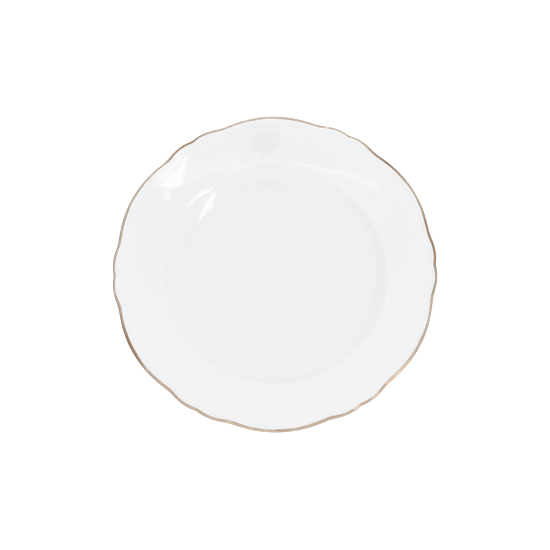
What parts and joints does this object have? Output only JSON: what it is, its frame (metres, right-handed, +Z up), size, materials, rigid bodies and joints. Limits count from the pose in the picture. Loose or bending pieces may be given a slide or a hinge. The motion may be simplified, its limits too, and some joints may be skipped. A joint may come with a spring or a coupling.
{
  "type": "dinner plate",
  "caption": "Round white china dinner plate with a shallow well, a wide flange with moulded reeds, a scalloped rim with a gilt line, and a foot ring.",
  "frame": {"origin": "centre of the foot ring, on the surface that the plate stands on", "axes": "+Z up along the plate's axis, out of the well; +X through a cusp of the rim, +Y through the middle of a lobe"},
  "size_m": [0.2646, 0.2666, 0.0282],
  "materials": {
    "bisque_porcelain": "bare fired clay, fine-grained and matt, on the foot ring's tip",
    "clear_glaze": "white body under a clear glaze, high gloss",
    "recess_glaze": "white body under a clear glaze, gloss, a little rippled",
    "gilding": "burnished rose-gold lustre line, brushed on by hand"
  },
  "bodies": {
    "root": {"porcelain_body": "bisque_porcelain", "glaze_coat": "clear_glaze", "glaze_recess_disc": "recess_glaze", "gilt_rim_band": "gilding"}
  },
  "joints": []
}
